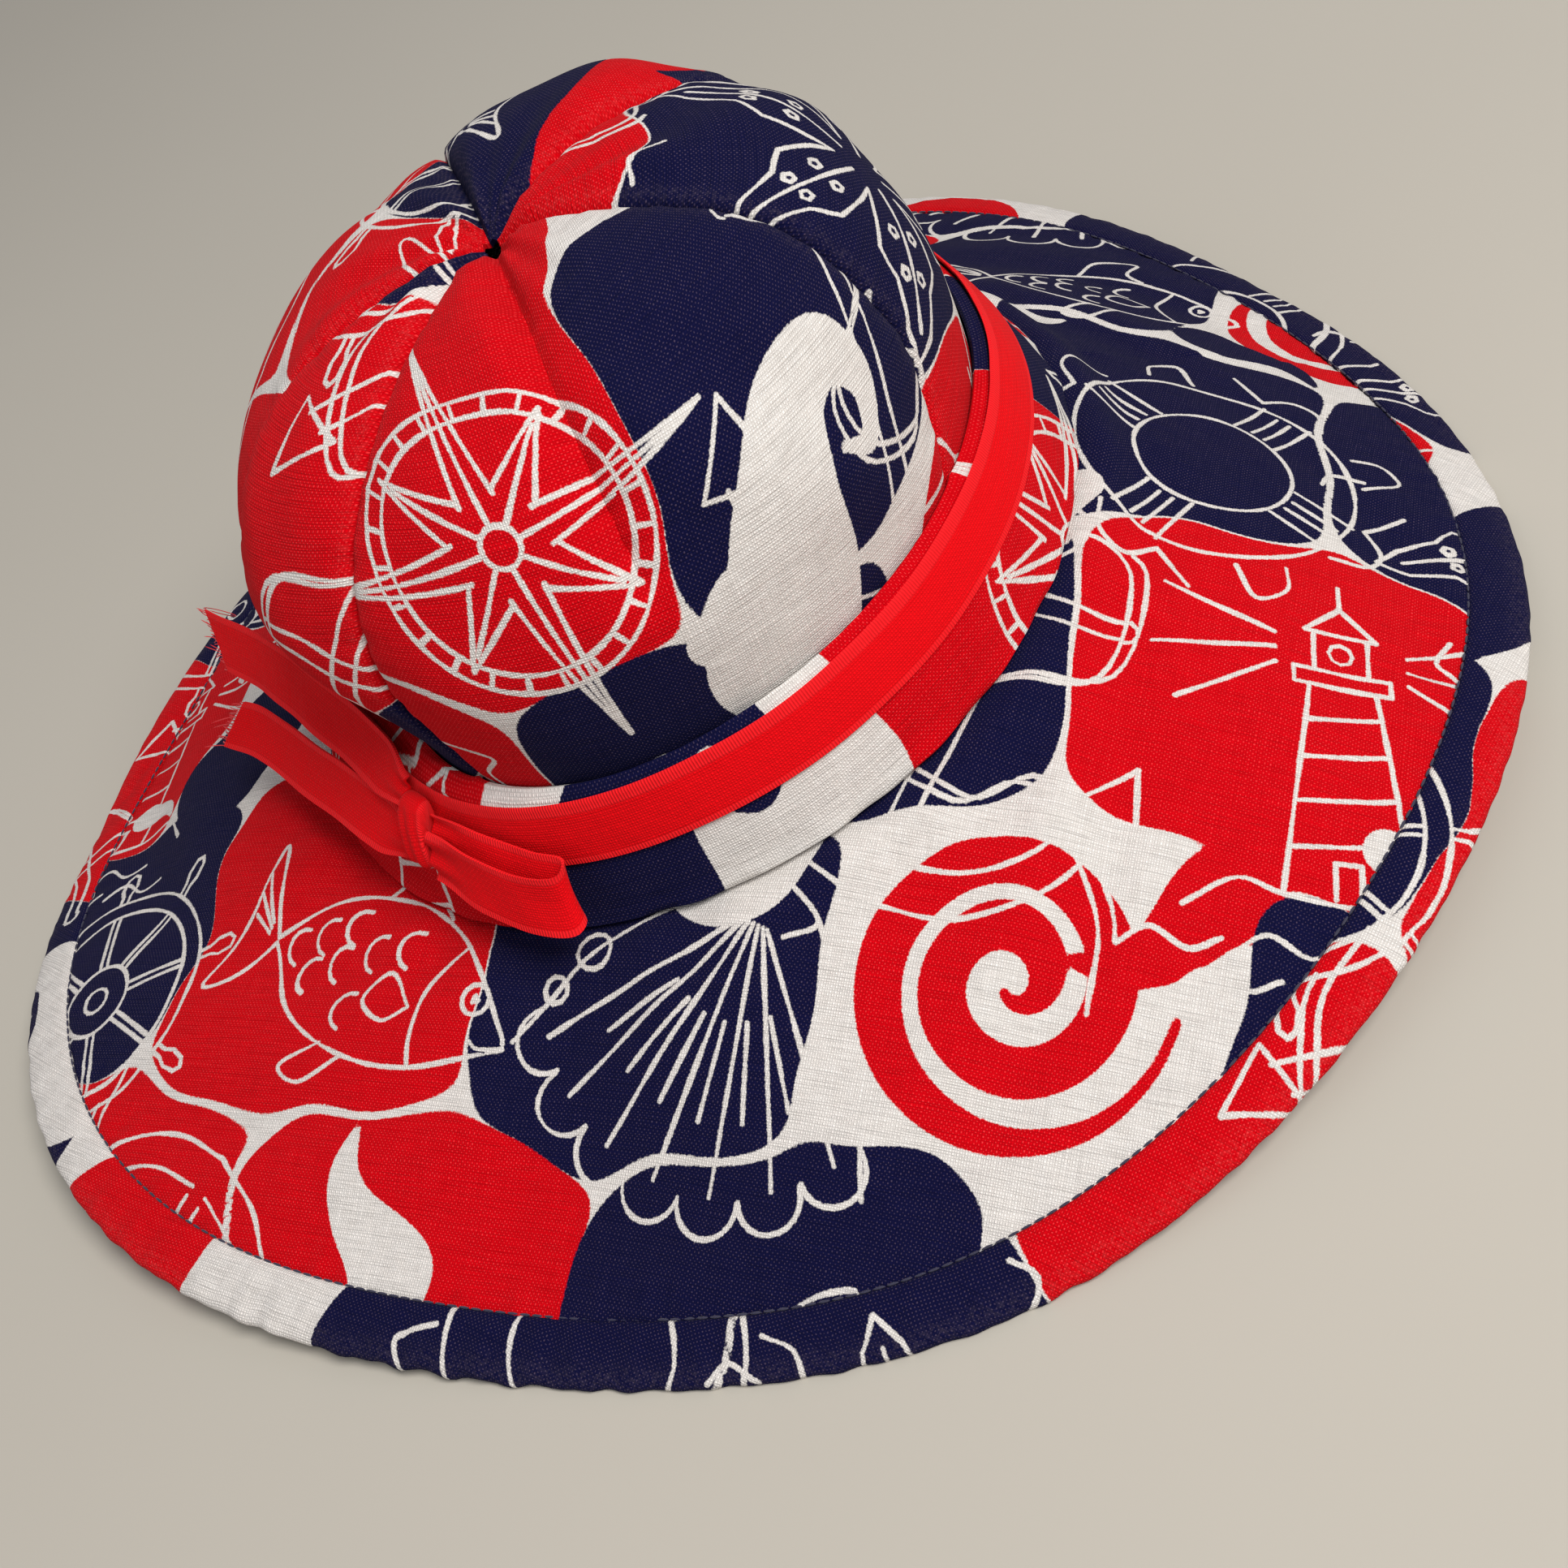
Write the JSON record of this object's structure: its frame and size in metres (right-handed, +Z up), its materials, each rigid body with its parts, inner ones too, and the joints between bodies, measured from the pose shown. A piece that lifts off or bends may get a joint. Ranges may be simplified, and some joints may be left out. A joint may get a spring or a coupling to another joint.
{
  "type": "wide brim sun hat",
  "caption": "Soft canvas sun hat with a panelled crown, stand-up side band, sloping wide brim with a stitched edge strip and a red tape tied in a bow",
  "frame": {"origin": "Middle of the hat's box, on the surface the brim rests on", "axes": "+Z up through the crown, -Y to the front where the wearer's face is, +X to the wearer's left"},
  "size_m": [0.4018, 0.3974, 0.1554],
  "materials": {
    "printed_canvas": "printed cotton canvas",
    "red_tape": "woven cotton tape"
  },
  "bodies": {
    "root": {"crown_front": "printed_canvas", "crown_right": "printed_canvas", "crown_back_right": "printed_canvas", "crown_back_left": "printed_canvas", "crown_left": "printed_canvas", "side_band": "printed_canvas", "brim": "printed_canvas", "brim_hem": "printed_canvas", "ribbon_band": "red_tape", "bow_knot": "red_tape", "bow_loop": "red_tape", "bow_tail_upper": "red_tape", "bow_tail_lower": "red_tape"}
  },
  "joints": []
}
